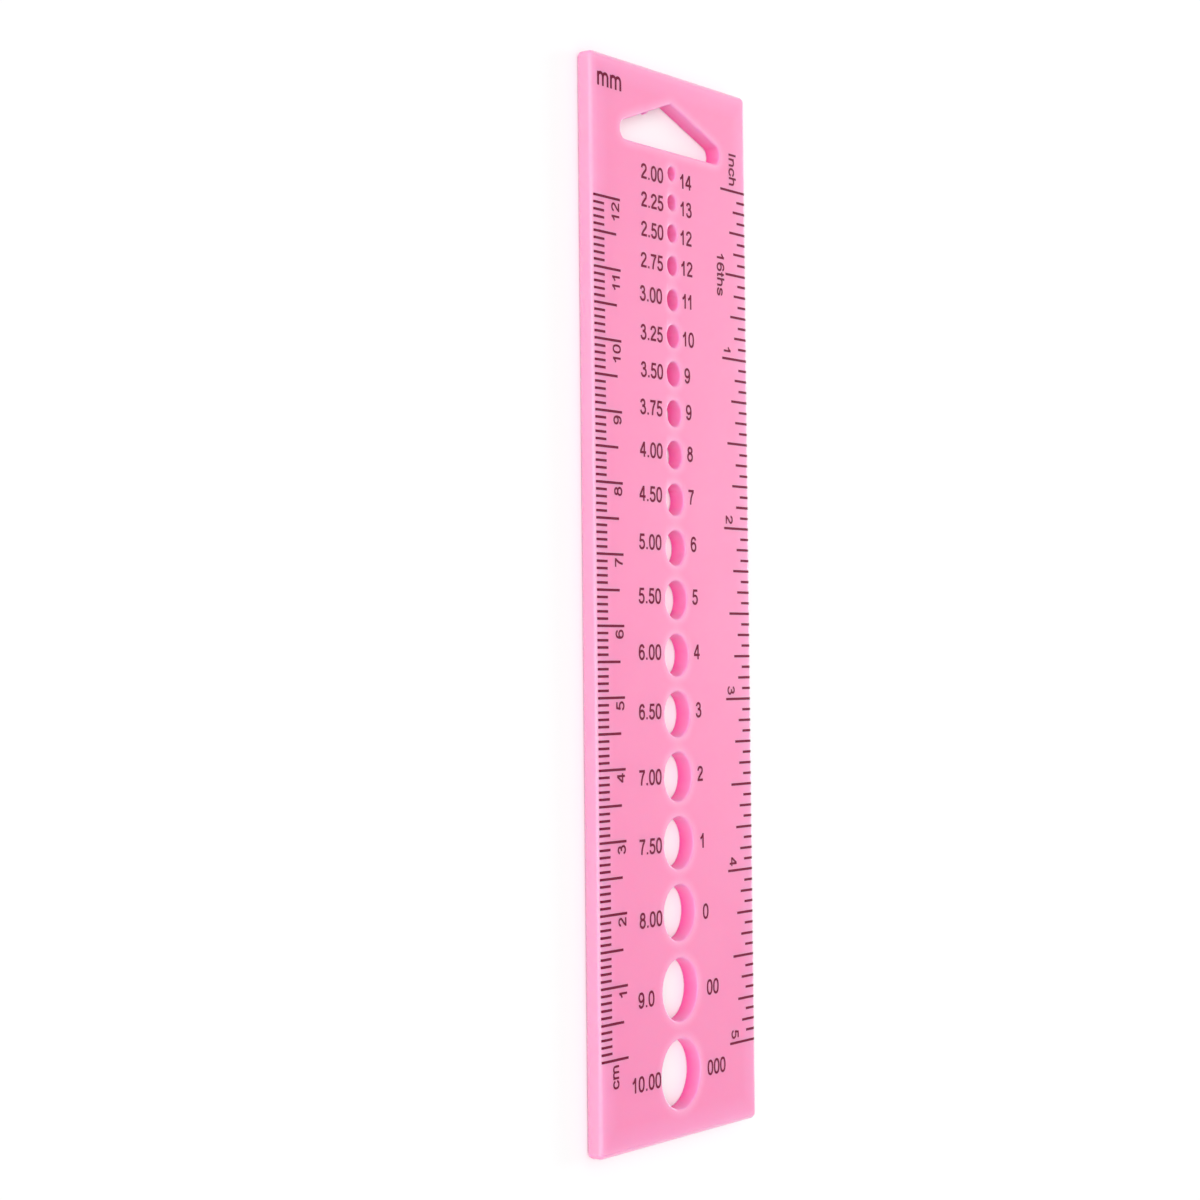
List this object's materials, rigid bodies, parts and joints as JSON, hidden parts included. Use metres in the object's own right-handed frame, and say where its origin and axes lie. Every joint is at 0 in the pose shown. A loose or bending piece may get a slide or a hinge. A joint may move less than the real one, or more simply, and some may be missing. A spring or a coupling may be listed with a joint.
{
  "type": "knitting needle gauge",
  "caption": "Flat moulded plate with a row of graded round holes that size knitting needles, ruler scales along both long edges and a triangular hanging hole.",
  "frame": {"origin": "middle of the back face, which the plate rests on", "axes": "+Z out of the printed face, +Y along the length from the largest needle hole to the hanging hole, +X across the width towards the inch scale"},
  "size_m": [0.0402, 0.1536, 0.0026],
  "materials": {
    "pink_plastic": "moulded, soft gloss, slightly translucent",
    "printed_ink": "pad printed, satin"
  },
  "bodies": {
    "root": {"gauge_plate": "pink_plastic"}
  },
  "joints": []
}
